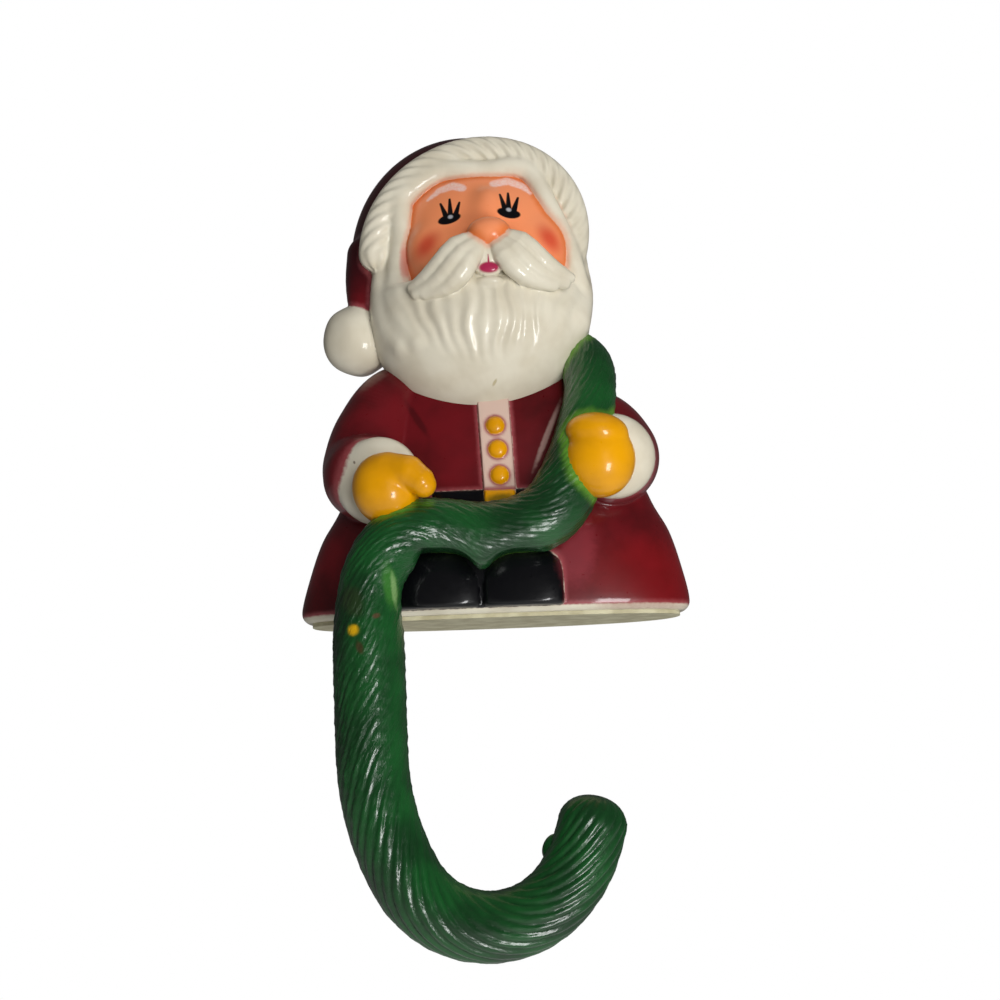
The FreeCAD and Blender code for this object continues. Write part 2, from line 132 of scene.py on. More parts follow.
# Face: middle, half sizes and blend of the bridge, the brow, the nose and the cheeks
FACE = ((1.2, -8.6, 95.5), (24.0, 15.4, 22.5))
FACE_FORMS = (
    ((1.7, -20.8, 101.5), (3.6, 4.0, 8.0), 4.0),
    ((0.0, -8.0, 104.0), (22.0, 11.0, 15.0), 2.0),
    ((1.7, -27.6, 96.6), (5.7, 5.0, 4.3), 1.2),
    ((-13.0, -17.5, 95.0), (6.0, 5.0, 6.5), 3.0),
    ((15.0, -17.5, 95.5), (6.0, 5.0, 6.5), 3.0),
)
LIP_FORMS = (  # below, above and behind the painted mouth
    ((1.8, -28.6, 83.9), (3.4, 2.2, 1.6), 0.8),
    ((1.4, -29.0, 90.8), (3.4, 2.0, 3.4), 0.6),
    ((1.3, -29.0, 87.2), (3.4, 1.9, 2.0), 0.5),
)

# Hair round the face: X, Y, Z and radius, from the left ear over the brow to the right
HAIR = (
    (-22.8, -13.6, 80.0, 3.4), (-22.1, -14.0, 89.5, 3.4), (-20.9, -14.2, 99.0, 3.1),
    (-21.0, -14.2, 106.5, 2.9), (-19.8, -14.0, 111.2, 2.8), (-11.6, -14.4, 117.0, 2.7),
    (-4.0, -15.2, 117.2, 2.6), (2.5, -15.3, 116.8, 2.6), (8.5, -15.3, 117.6, 2.6),
    (13.4, -15.2, 115.2, 2.6), (16.9, -16.6, 107.0, 2.7), (20.6, -16.4, 98.5, 2.7),
    (23.3, -15.0, 91.0, 2.6), (24.6, -14.0, 86.0, 2.5),
)
SIDE_HAIR = (
    ((-25.6, -10.0, 93.0, 3.0), (-26.0, -12.0, 86.0, 3.6), (-24.4, -15.0, 77.0, 4.0),
     (-21.0, -19.0, 71.0, 3.0)),
    ((-22.0, -15.0, 86.0, 3.2), (-20.6, -19.0, 78.0, 3.4), (-17.0, -22.0, 71.0, 2.4)),
    ((24.6, -10.0, 92.0, 2.6), (24.6, -11.0, 84.0, 3.6), (22.6, -15.0, 76.0, 4.4)),
)

# Moustache: X, Y, Z and radius of each strand, outer ones first, and of the fill behind them
MOUSTACHE = (
    ((-2.1, -29.0, 95.2, 1.9), (-6.7, -29.6, 93.2, 2.6), (-10.6, -29.0, 89.2, 2.6),
     (-14.1, -27.0, 86.0, 2.4), (-18.0, -24.4, 84.0, 1.7)),
    ((-1.2, -29.6, 94.2, 1.9), (-5.2, -30.6, 91.0, 2.7), (-8.9, -30.0, 86.9, 2.7),
     (-12.6, -27.8, 84.2, 2.4), (-17.0, -25.0, 82.6, 1.9)),
    ((-0.6, -29.8, 93.0, 1.8), (-3.3, -31.0, 89.3, 2.6), (-6.2, -30.6, 85.4, 2.6),
     (-9.8, -28.7, 82.9, 2.3), (-14.6, -26.2, 82.2, 1.9)),
    ((-0.3, -29.4, 92.6, 1.5), (-2.5, -30.6, 89.4, 1.9), (-4.6, -30.5, 86.0, 2.0),
     (-7.0, -29.4, 83.4, 1.6)),
    ((5.3, -29.0, 95.6, 1.9), (9.8, -29.6, 93.8, 2.6), (13.5, -29.0, 90.4, 2.6),
     (17.1, -27.2, 87.4, 2.4), (22.0, -23.6, 85.4, 1.4)),
    ((4.3, -29.6, 94.4, 1.9), (7.6, -30.6, 91.4, 2.7), (11.3, -30.0, 87.7, 2.7),
     (15.5, -27.6, 85.5, 2.4), (20.4, -24.4, 84.0, 1.8)),
    ((3.3, -29.8, 93.2, 1.8), (5.3, -31.0, 89.9, 2.6), (8.2, -30.6, 86.5, 2.6),
     (12.0, -28.8, 84.2, 2.3), (17.4, -25.8, 83.2, 1.8)),
    ((3.0, -29.4, 92.6, 1.5), (5.0, -30.6, 89.8, 1.9), (7.0, -30.4, 86.8, 2.0),
     (9.8, -29.2, 84.4, 1.6)),
)
MOUSTACHE_ROOTS = (
    ((-1.5, -25.5, 92.0, 3.6), (-8.0, -25.2, 88.6, 4.2), (-12.6, -23.5, 85.6, 3.8),
     (-16.0, -21.5, 84.0, 2.4)),
    ((4.0, -25.5, 92.6, 3.6), (10.4, -25.2, 89.6, 4.2), (15.2, -23.3, 86.8, 3.8),
     (18.8, -20.8, 85.0, 2.4)),
)

# Beard: middle and half sizes of its whole and of its front
BEARD = ((-1.4, -9.0, 78.5), (28.6, 19.5, 26.4))
BEARD_FRONT = ((2.0, -11.5, 78.0), (21.0, 18.4, 15.0))
BEARD_TOP = (88.5, 0.09)  # height of its upper edge in the middle, and its rise per millimetre
LOCK_CENTRE = (3.0, 10.0)  # X and Z of the place below the chin that the locks point to
LOCK_AREA = (1.0, 93.0, 28.0, 30.0)  # X and Z of the locks' middle, and their reach
LOCK_PITCH = 3.1  # degrees from one lock to the next
LOCK_DEPTH = 0.52

# Boxes in which the skins are looked for: low and high corner
HEAD_BOX = ((-49, -38, 46), (35, 28, 136))
BODY_BOX = ((-54, -42, -2), (54, 26, 74))

# Rope: its strands, the hook's bends, and X, Y, Z and radius down the garland
ROPE_STRANDS = 30
ROPE_LEAD = 100.0
ROPE_STEP = 0.95
ROPE_AROUND = 240
ROPE_RIDGES = 20  # broader ridges round the bend of the hook
ROPE_BEND = (150.0, 185.0)  # how far along the rope they begin and are at their full depth
HOOK_RADIUS = 8.8
HOOK_TIP_RADIUS = 8.3
HOOK_PLANE = -32.15
SHANK_X = -31.35
SHANK_END = -33.0
HOOK_BENDS = ((66.0, 27.5), (22.9, 111.0), (34.0, 31.0))  # radius and degrees
TIP_ANGLES = (12, 24, 36, 48, 58, 68, 76, 84, 89)
TIP_REACH = 0.8  # of the rope's radius
GARLAND = (
    (19.0, -2.0, 74.0, 3.4), (23.4, -8.0, 69.6, 5.4), (26.0, -13.5, 64.2, 6.7),
    (26.1, -18.0, 57.0, 6.5), (24.9, -21.5, 50.0, 6.8), (23.2, -23.5, 43.0, 7.3),
    (20.6, -25.0, 35.0, 7.9), (15.2, -26.0, 25.6, 8.3), (7.0, -26.5, 21.6, 7.9),
    (-2.8, -27.0, 20.2, 7.8), (-11.5, -28.0, 21.4, 7.8), (-19.0, -29.5, 21.3, 7.9),
    (-25.4, -31.0, 17.6, 7.9), (-29.4, -32.0, 11.5, 7.7), (-31.0, -32.1, 5.0, 7.8),
    (-31.35, -32.15, -2.0, 8.4),
)

# Where the garland rests on the boots: X of each boot's middle, half its width, and its top
BOOT_TOPS = ((-14.2, 11.4, 16.2), (7.4, 10.6, 15.6))
OVER_BOOTS = (-25.0, -21.0)  # X between which the garland comes to rest on them
SAG = (-3.1, 4.0, 1.3)  # X, width and depth of the garland's sag between the boots

# Bump inside the hook's tip: its row from the end, half sizes, and where it sits on the rope
NUB_ROW = -5
NUB_RADII = (3.4, 2.2, 2.3)
NUB_SUNK = 0.6
NUB_BACK = 1.5

# Painted face: X and Z of places, with a lean in degrees or the widths of a stroke
FACE_BACK = -11.5  # Y behind which the head is painted maroon instead of skin
FACE_PAINT = -14.0  # Y behind which nothing of the face is painted
CHEEKS = (((-14.4, 95.6), 50), ((17.2, 96.2), -58))
CHEEK_SIZE = (6.4, 3.8)
LASHES = (
    ((-9.1, 103.2), (-10.5, 107.2)), ((-8.0, 103.4), (-8.1, 108.2)), ((-6.7, 103.2), (-5.6, 106.9)),
    ((6.0, 104.4), (4.9, 108.4)), ((7.0, 104.6), (7.0, 109.1)), ((8.4, 104.2), (9.5, 107.8)),
)
LASH_WIDTHS = (0.75, 0.3)
LIDS = (((-8.3, 102.5), 12), ((7.0, 103.1), -6))
LID_SIZE = (3.0, 1.4)
GLINTS = ((-8.0, 103.0), (7.0, 104.1))
GLINT_SIZE = (0.9, 0.75)
BROWS = (
    ((-13.8, 109.1), (-10.7, 111.5), 0.5, 1.0), ((-10.7, 111.5), (-7.3, 112.4), 1.0, 1.35),
    ((-7.3, 112.4), (-4.8, 111.4), 1.35, 1.2), ((3.4, 112.1), (7.1, 113.2), 1.2, 1.35),
    ((7.1, 113.2), (10.9, 111.6), 1.35, 1.1), ((10.9, 111.6), (12.8, 109.5), 1.1, 0.5),
)
LIPS = ((1.4, 87.2), (3.1, 1.7))
LIP_RUN = ((1.4, 87.5), (1.3, 90.4), 0.35, 0.1)
HAT_SHADE_HEIGHTS = (82.0, 94.0)  # heights between which the maroon turns into the darker maroon painted on the hat as shade

# Camera, from the photograph: how far, how high it looks, and how far it is rolled
VIEW_TARGET = Vector((2.05, 0.0, 32.3)) * MM
VIEW_DISTANCE = 0.560
VIEW_PITCH = 8.0
VIEW_ROLL = 2.1
LENS = 76.93
SENSOR = 36.0

# Lamps, in metres and watts: name, place, size and power
LAMPS = (
    ("key", (0.31, -0.64, -0.24), (0.16, 0.24), 2.2),
    ("soft_front", (0.3, -1.0, 0.15), (0.4, 0.4), 4.9),
    ("soft_left", (-0.8, -0.5, 0.4), (0.6, 0.6), 0.1),
    ("soft_back", (0.2, 1.0, 0.3), (0.6, 0.6), 6.0),
    ("soft_right", (1.0, 0.1, 0.2), (0.6, 0.6), 1.2),
    ("soft_top", (0.15, -0.3, 0.9), (0.7, 0.7), 2.0),
)
LAMP_AIM = Vector((0, -0.01, 0.03))
FLOOR_HEIGHT = -0.75


def length(v):
    """Return the lengths of rows of vectors."""
    return np.sqrt((v * v).sum(axis=-1))


def smooth_min(a, b, k):
    """Return the smaller of two distances, rounded where they meet."""
    h = np.clip(0.5 + 0.5 * (b - a) / k, 0.0, 1.0)
    return b + (a - b) * h - k * h * (1.0 - h)


def smooth_max(a, b, k):
    """Return the larger of two distances, rounded where they meet."""
    return -smooth_min(-a, -b, k)


def turned(turn, roll):
    """Return a matrix that rolls about Y and then turns about Z, in degrees."""
    spin = Matrix.Rotation(math.radians(turn), 3, "Z")
    return np.array(spin @ Matrix.Rotation(math.radians(roll), 3, "Y"), dtype=np.float32)


def ellipsoid(p, centre, radii, turn=0.0, roll=0.0):
    """Return distances to an ellipsoid."""
    q = p - np.array(centre, dtype=np.float32)
    if turn or roll:
        q = q @ turned(turn, roll)
    r = np.array(radii, dtype=np.float32)
    k0 = length(q / r)
    k1 = length(q / (r * r))
    return k0 * (k0 - 1.0) / np.maximum(k1, 1e-6)


def tube(p, points):
    """Return distances to a round tube through points, each a place and a radius."""
    best = np.full(len(p), FAR, dtype=np.float32)
    for a, b in zip(points, points[1:]):
        start = np.array(a[:3], dtype=np.float32)
        run = np.array(b[:3], dtype=np.float32) - start
        q = p - start
        h = np.clip(q @ run / float(run @ run), 0.0, 1.0)
        d = length(q - h[:, None] * run) - (a[3] + (b[3] - a[3]) * h)
        best = np.minimum(best, d)
    return best


def smooth_points(points, steps):
    """Return more points along a smooth curve through the points."""
    p = np.array(points, dtype=float)
    p = np.vstack([2 * p[0] - p[1], p, 2 * p[-1] - p[-2]])
    rows = []
    for i in range(1, len(p) - 2):
        for j in range(steps):
            t = j / steps
            rows.append(0.5 * (
                2 * p[i] + (p[i + 1] - p[i - 1]) * t
                + (2 * p[i - 1] - 5 * p[i] + 4 * p[i + 1] - p[i + 2]) * t ** 2
                + (3 * p[i] - p[i - 1] - 3 * p[i + 1] + p[i + 2]) * t ** 3))
    rows.append(p[-2])
    return rows


ROBE_TABLE = np.array(smooth_points(ROBE_ROWS, 8))


def block(p, low, high, rounding):
    """Return distances to a box with rounded edges."""
    low = np.array(low, dtype=np.float32)
    high = np.array(high, dtype=np.float32)
    q = np.abs(p - (low + high) / 2) - (high - low) / 2 + rounding
    return length(np.maximum(q, 0.0)) + np.minimum(q.max(axis=1), 0.0) - rounding


def middle_shift(z):
    """Return the X of the robe's middle at heights."""
    return WAIST_SHIFT * np.maximum(0.0, 1 - np.abs(z - WAIST_HEIGHT) / SHIFT_REACH)


def robe_size(z):
    """Return the half width and half depth of the robe at heights."""
    rows = ROBE_TABLE
    return tuple(np.interp(z, rows[:, 0], rows[:, k]) / 2 for k in (1, 2))


def robe_side(p):
    """Return distances to the robe's side, as if it had no top and no bottom."""
    half, deep = robe_size(p[:, 2])
    y = p[:, 1] + ROBE_FORWARD
    reach = np.where(y > 0, deep + ROBE_FORWARD, deep - ROBE_FORWARD)
    n = ROBE_SQUARENESS
    u = np.abs(p[:, 0] - middle_shift(p[:, 2])) / half
    w = np.abs(y) / reach
    s = np.maximum((u ** n + w ** n) ** (1 / n), 1e-3)
    slope = np.sqrt((u ** (n - 1) / half) ** 2 + (w ** (n - 1) / reach) ** 2) / s ** (n - 1)
    return ((s - 1) / np.maximum(slope, 1e-4)).astype(np.float32) * 0.95


def robe_front(x, z):
    """Return the Y of the robe's front at a place."""
    half, deep = robe_size(z)
    share = min(0.98, abs(x - middle_shift(z)) / half)
    n = ROBE_SQUARENESS
    return -ROBE_FORWARD - (deep - ROBE_FORWARD) * (1 - share ** n) ** (1 / n)


def robe(p):
    """Return distances to the closed robe."""
    d = smooth_max(robe_side(p), p[:, 2] - ROBE_TOP, 4.0)
    return smooth_max(d, ROBE_ROWS[0][0] - p[:, 2], 1.2)


def patch(p, side, corners, proud, lean=0.0):
    """Return distances to a panel that stands proud of the robe; corners are X and Z pairs."""
    (x0, z0), (x1, z1) = corners
    middle = (z0 + z1) / 2
    x = p[:, 0] - lean * (p[:, 2] - middle)
    across = np.abs(x - (x0 + x1) / 2) - (x1 - x0) / 2
    up = np.abs(p[:, 2] - middle) - (z1 - z0) / 2
    window = np.maximum(np.maximum(across, up), p[:, 1] + ROBE_FORWARD)
    return smooth_max(side - proud, window, 0.5)


def sleeves(p, body):
    """Return the body's distances with both sleeves joined to it."""
    for rows in SLEEVES:
        body = smooth_min(body, tube(p, smooth_points(rows, 12)), 0.8)
    return body


def cuffs(p):
    """Return distances to the fur cuffs."""
    left = ellipsoid(p, *LEFT_CUFF, turn=-CUFF_TURN)
    right = ellipsoid(p, *RIGHT_CUFF, turn=CUFF_TURN)
    return smooth_min(left, right, 0.3)


def mittens(p):
    """Return distances to both mittens, each a palm with its thumb."""
    left = smooth_min(ellipsoid(p, *LEFT_PALM, roll=LEFT_PALM_LEAN), tube(p, LEFT_THUMB), 1.0)
    thumb = ellipsoid(p, *RIGHT_THUMB, roll=RIGHT_THUMB_LEAN)
    return np.minimum(left, smooth_min(ellipsoid(p, *RIGHT_PALM), thumb, 1.2))


def buttons(p):
    """Return distances to the three buttons."""
    rows = [ellipsoid(p, (x, robe_front(x, z) - RELIEF, z), BUTTON_SIZE) for x, z in BUTTONS]
    return np.minimum.reduce(rows)


def boots(p):
    """Return distances to both boots, each a block rounded off by a dome."""
    rows = []
    for x0, x1, top in BOOTS:
        front = robe_front((x0 + x1) / 2, BOOT_LEVEL)
        boot = block(p, (x0, front - BOOT_PROUD, RIM_TOP), (x1, front + BOOT_SUNK, top), 1.2)
        middle = ((x0 + x1) / 2, front + BOOT_PROUD, BOOT_DOME_LEVEL)
        dome = ellipsoid(p, middle, (*BOOT_DOME, top - BOOT_DOME_DROP))
        rows.append(smooth_max(boot, dome, 1.5))
    return np.minimum.reduce(rows)


def body_paints(p):
    """Return the body's forms as distances, by paint."""
    side = robe_side(p)
    gold = np.minimum(mittens(p), buttons(p))
    gold = np.minimum(gold, patch(p, side, BUCKLE, RELIEF * 1.7))
    black = np.minimum(boots(p), patch(p, side, BELT, RELIEF * 0.8))
    for corners in BOOT_SHADOWS:
        black = np.minimum(black, patch(p, side, corners, RELIEF * 0.6))
    return {
        "maroon": sleeves(p, robe(p)),
        "white": cuffs(p),
        "gold": gold,
        "pink": patch(p, side, PLACKET, RELIEF, PLACKET_LEAN),
        "black": black,
    }


def hat_roll(p):
    """Return distances to the twisted fur roll round the face."""
    lean = math.radians(ROLL_LEAN)
    a, b = ROLL_SIZE
    x, z = p[:, 0] - ROLL_CENTRE[0], p[:, 2] - ROLL_CENTRE[2]
    u = x * math.cos(lean) + z * math.sin(lean)
    w = -x * math.sin(lean) + z * math.cos(lean)
    t = np.arctan2(w * a, u * b)
    for _ in range(4):
        c, s = np.cos(t), np.sin(t)
        slope = (a * a - b * b) * c * s - u * a * s + w * b * c
        bend = (a * a - b * b) * (c * c - s * s) - u * a * c - w * b * s
        t = t - np.clip(slope / np.where(np.abs(bend) < 1e-3, 1e-3, bend), -0.4, 0.4)
    middle = math.radians(sum(ROLL_ENDS) / 2)
    half = math.radians((ROLL_ENDS[1] - ROLL_ENDS[0]) / 2)
    t = (t - middle + math.pi) % math.tau - math.pi
    t = np.clip(t, -half, half) + middle
    c, s = np.cos(t), np.sin(t)
    eu, ew = a * c, b * s
    out = (u - eu) * c + (w - ew) * s
    y = p[:, 1] - ROLL_CENTRE[1]
    away = np.sqrt((u - eu) ** 2 + (w - ew) ** 2 + y * y)
    around = np.arctan2(y, out)
    turns = t * (a + b) / 2 / ROLL_LEAD * math.tau
    ridge = 0.5 + 0.5 * np.cos(ROLL_STRANDS * (around - turns))
    clear = 0.55 + 0.45 * np.cos((t - ROLL_CLEAREST) * 1.6)
    face = np.clip(-np.sin(around) * 1.5 - 0.35, 0.0, 1.0)
    groove = ROLL_GROOVE * (0.35 + 0.65 * np.clip(clear, 0.0, 1.0)) * face
    return (away - ROLL_RADIUS + groove * (1 - ridge)).astype(np.float32) * 0.85


def lock_relief(p):
    """Return how deep the skin lies below the crests of the beard's locks."""
    x, z = p[:, 0], p[:, 2]
    angle = np.degrees(np.arctan2(x - LOCK_CENTRE[0], z - LOCK_CENTRE[1]))
    angle = angle + 0.7 * np.sin(z * 0.3 + x * 0.2) + 0.2 * np.sin(z * 0.6 - x * 0.4)
    turns = math.tau * angle / LOCK_PITCH
    lock = np.cos(turns) + 0.5 * np.cos(turns * 0.57 + 1.0)
    far = np.sqrt(((x - LOCK_AREA[0]) / LOCK_AREA[2]) ** 2 + ((z - LOCK_AREA[1]) / LOCK_AREA[3]) ** 2)
    deep = np.clip((1.0 - far) / 0.22, 0.0, 1.0) * np.clip((-p[:, 1] - 10.0) / 6.0, 0.0, 1.0)
    return LOCK_DEPTH * deep * (0.55 - 0.37 * lock)


def beard(p):
    """Return distances to the beard with its locks."""
    d = smooth_min(ellipsoid(p, *BEARD), ellipsoid(p, *BEARD_FRONT), 5.0) + lock_relief(p)
    top = BEARD_TOP[0] + BEARD_TOP[1] * p[:, 0]
    return smooth_max(d, (p[:, 2] - top) * 0.9, 2.0)


def joined(p, d, forms):
    """Return distances with ellipsoids joined on, each a middle, half sizes and a blend."""
    for middle, radii, blend in forms:
        d = smooth_min(d, ellipsoid(p, middle, radii), blend)
    return d


def moustache(p):
    """Return distances to the moustache's strands and what fills the space behind them."""
    hairs = np.full(len(p), FAR, dtype=np.float32)
    for strand in MOUSTACHE:
        hairs = smooth_min(hairs, tube(p, smooth_points(strand, 2)) + 0.05, 0.55)
    for rows in MOUSTACHE_ROOTS:
        hairs = smooth_min(hairs, tube(p, smooth_points(rows, 3)), 0.5)
    return hairs


def pompom(p):
    """Return distances to the pompom with its shallow folds."""
    folds = np.sin(0.75 * p[:, 0] + 0.2 * p[:, 2]) * np.sin(0.3 * p[:, 2] + 0.25 * p[:, 1] + 1.0)
    return ellipsoid(p, *POMPOM) + POMPOM_FOLDS - POMPOM_FOLDS * folds


def head_paints(p):
    """Return the head's forms as distances, by paint."""
    white = smooth_min(beard(p), tube(p, smooth_points(HAIR, 3)), 1.2)
    for rows in SIDE_HAIR:
        white = smooth_min(white, tube(p, smooth_points(rows, 4)), 2.0)
    white = joined(p, smooth_min(white, hat_roll(p), 1.2), LIP_FORMS)
    white = smooth_min(white, moustache(p), 0.4)

    maroon = ellipsoid(p, *HAT, roll=HAT_LEAN)
    maroon = smooth_min(maroon, tube(p, smooth_points(HAT_TAIL, 3)), 2.5)
    return {
        "maroon": joined(p, maroon, NECK_FORMS),
        "white": np.minimum(white, pompom(p)),
        "skin": joined(p, ellipsoid(p, *FACE), FACE_FORMS),
    }


def whole(paints):
    """Return the distance to all forms together."""
    d = None
    for value in paints.values():
        d = value if d is None else smooth_min(d, value, CREASE)
    return d


def in_chunks(shape, p, size=300000):
    """Return a field's values at points, a part at a time."""
    return np.concatenate([shape(p[i:i + size]) for i in range(0, len(p), size)])


def sample(shape, low, high, step):
    """Return a field on a grid; only blocks near the skin are worked out finely."""
    coarse = step * BLOCK
    counts = [int(math.ceil((h - l) / coarse)) for l, h in zip(low, high)]
    index = np.indices(counts).reshape(3, -1).T
    origin = np.array(low, dtype=np.float32)
    rough = in_chunks(shape, (origin + (index + 0.5) * coarse - step / 2).astype(np.float32))
    grid = np.full([c * BLOCK for c in counts], FAR, dtype=np.float32)
    blocks = np.repeat(rough.reshape(counts), BLOCK, 0).repeat(BLOCK, 1).repeat(BLOCK, 2)
    grid[blocks < 0] = -FAR
    near = index[np.abs(rough) < coarse * 1.3 + 0.6]
    inner = np.indices([BLOCK] * 3).reshape(3, -1).T
    cells = (near[:, None, :] * BLOCK + inner[None, :, :]).reshape(-1, 3)
    grid[tuple(cells.T)] = in_chunks(shape, (origin + cells * step).astype(np.float32))
    return grid, origin


def skin_of(grid, origin, step):
    """Return the points and four-sided faces of the skin where a grid changes sign."""
    inside = grid < 0
    nx, ny, nz = (n - 1 for n in grid.shape)
    corners = [(i, j, k) for i in (0, 1) for j in (0, 1) for k in (0, 1)]
    count = np.zeros((nx, ny, nz), dtype=np.int8)
    for i, j, k in corners:
        count += inside[i:nx + i, j:ny + j, k:nz + k]
    mixed = (count > 0) & (count < 8)
    cells = np.argwhere(mixed)
    index = np.full(mixed.shape, -1, dtype=np.int64)
    index[mixed] = np.arange(len(cells))
    total = np.zeros((len(cells), 3))
    hits = np.zeros(len(cells))
    for a in corners:
        for axis in range(3):
            if a[axis]:
                continue
            b = list(a)
            b[axis] = 1
            fa = grid[tuple((cells + a).T)]
            fb = grid[tuple((cells + b).T)]
            cut = (fa < 0) != (fb < 0)
            share = np.where(cut, fa / np.where(cut, fa - fb, 1.0), 0.0)
            place = np.array(a, dtype=float) + share[:, None] * np.eye(3)[axis]
            total += place * cut[:, None]
            hits += cut
    points = origin + (cells + total / hits[:, None]) * step
    faces = []
    for axis in range(3):
        one, two = [k for k in range(3) if k != axis]
        if axis == 1:
            one, two = two, one
        here = inside[1:-1, 1:-1, 1:-1]
        shift = [slice(1, -1)] * 3
        shift[axis] = slice(2, None)
        there = inside[tuple(shift)]
        edges = np.argwhere(here != there) + 1
        flip = ~here[tuple((edges - 1).T)]
        ring = []
        for d1, d2 in ((0, 0), (-1, 0), (-1, -1), (0, -1)):
            cell = edges.copy()
            cell[:, one] += d1
            cell[:, two] += d2
            ring.append(index[tuple(cell.T)])
        quad = np.array(ring).T
        quad[flip] = quad[flip][:, ::-1]
        faces.append(quad)
    faces = np.concatenate(faces)
    return points.astype(np.float32), faces[(faces >= 0).all(axis=1)]


def slopes(shape, p, reach=0.05):
    """Return a field's slope at points."""
    rows = []
    for axis in range(3):
        move = np.zeros(3, dtype=np.float32)
        move[axis] = reach
        rows.append((shape(p + move) - shape(p - move)) / (2 * reach))
    return np.array(rows).T


def mesh_of(name, points, faces, normals=None):
    """Return a new object from points in millimetres and a list of faces."""
    mesh = bpy.data.meshes.new(name)
    mesh.from_pydata((points * MM).tolist(), [], faces)
    mesh.polygons.foreach_set("use_smooth", np.ones(len(faces), dtype=bool))
    if normals is not None:
        mesh.normals_split_custom_set_from_vertices(normals.tolist())
    mesh.update()
    piece = bpy.data.objects.new(name, mesh)
    bpy.context.collection.objects.link(piece)
    print(name, len(points), "points", len(faces), "faces")
    return piece


def keep(piece, name, values):
    """Keep a value per point on a mesh, for its material."""
    layer = piece.data.attributes.new(name, "FLOAT", "POINT")
    layer.data.foreach_set("value", np.asarray(values, dtype=np.float32))


def moulded(name, paints, low, high):
    """Return one moulded piece, with its paint distances kept."""
    step = GRID_STEP
    shape = lambda p: whole(paints(p))
    grid, origin = sample(shape, low, high, step)
    points, faces = skin_of(grid, origin, step)
    for _ in range(3):
        slope = slopes(shape, points)
        size = np.maximum((slope * slope).sum(axis=1), 0.2)
        move = (shape(points) / size)[:, None] * slope
        points = (points - np.clip(move, -0.3 * step, 0.3 * step)).astype(np.float32)
    slope = slopes(shape, points, 0.12)
    normals = slope / np.maximum(length(slope), 1e-6)[:, None]
    piece = mesh_of(name, points, faces.tolist(), normals)
    values = paints(points)
    for paint in PAINTS:
        if paint in values:
            others = np.minimum.reduce([v for k, v in values.items() if k != paint])
            keep(piece, paint, others - values[paint])
        else:
            keep(piece, paint, np.full(len(points), -FAR))
    return piece


def hook_rows():
    """Return the places and radii down the shank and round the bends of the hook."""
    rows = [(SHANK_X, HOOK_PLANE, z, HOOK_RADIUS) for z in np.arange(-4.0, SHANK_END - 0.1, -2.0)]
    x, z = SHANK_X, SHANK_END
    heading = -math.pi / 2
    total = sum(turn for _, turn in HOOK_BENDS)
    turned_by = 0.0
    for bend, turn in HOOK_BENDS:
        count = max(3, round(turn / 4))
        step = math.radians(turn) / count
        for _ in range(count):
            chord = 2 * bend * math.sin(step / 2)
            x += math.cos(heading + step / 2) * chord
            z += math.sin(heading + step / 2) * chord
            heading += step
            turned_by += turn / count
            radius = HOOK_RADIUS + (HOOK_TIP_RADIUS - HOOK_RADIUS) * turned_by / total
            rows.append((x, HOOK_PLANE, z, radius))
    return rows


def even_rows(rows, step):
    """Return rows at even spacing along a run of places, and how far along each is."""
    rows = np.array(rows)
    gaps = length(np.diff(rows[:, :3], axis=0))
    run = np.concatenate([[0.0], np.cumsum(gaps)])
    at = np.linspace(0.0, run[-1], int(round(run[-1] / step)) + 1)
    return np.array([np.interp(at, run, rows[:, k]) for k in range(4)]).T, at


def route():
    """Return places, headings, radii and run along the rope, and the middle of its round tip."""
    rows = [tuple(r) for r in smooth_points(GARLAND, 8)] + hook_rows()
    rows, run = even_rows(rows, ROPE_STEP)
    kernel = np.ones(7) / 7
    for _ in range(2):
        padded = np.pad(rows, ((3, 3), (0, 0)), mode="reflect", reflect_type="odd")
        rows = np.array([np.convolve(padded[:, k], kernel, mode="valid") for k in range(4)]).T
    places, radii = rows[:, :3], rows[:, 3]
    headings = np.gradient(places, axis=0)
    headings /= length(headings)[:, None]

    place, heading, radius = places[-1], headings[-1], radii[-1]
    ends = [math.radians(a) for a in TIP_ANGLES]
    places = np.vstack([places] + [place + heading * radius * TIP_REACH * math.sin(a) for a in ends])
    headings = np.vstack([headings] + [heading] * len(ends))
    radii = np.concatenate([radii, [radius * math.cos(a) for a in ends]])
    run = np.concatenate([run, [run[-1] + radius * TIP_REACH * math.sin(a) for a in ends]])
    return places, headings, radii, run, place + heading * radius * TIP_REACH


def on_boots(ring, place):
    """Return a ring of the garland laid over the boots, with its sag between them."""
    x, z = ring[:, 0], ring[:, 2]
    below = np.clip((place[2] - z) / HOOK_RADIUS, 0.0, 1.0)
    start, full = OVER_BOOTS
    over = min(1.0, max(0.0, (place[0] - start) / (full - start)))
    z = z - SAG[2] * below * np.exp(-((x - SAG[0]) / SAG[1]) ** 2)
    for middle, half, top in BOOT_TOPS:
        share = np.clip(1 - np.abs((x - middle) / half) ** 3, 0.0, 1.0)
        floor = top * share ** (1 / 3)
        lift = 0.4 * np.log1p(np.exp(np.clip((floor - z) / 0.4, -30, 30)))
        z = z + over * np.where(share > 0, lift, 0.0)
    return np.stack([x, ring[:, 1], z], -1)


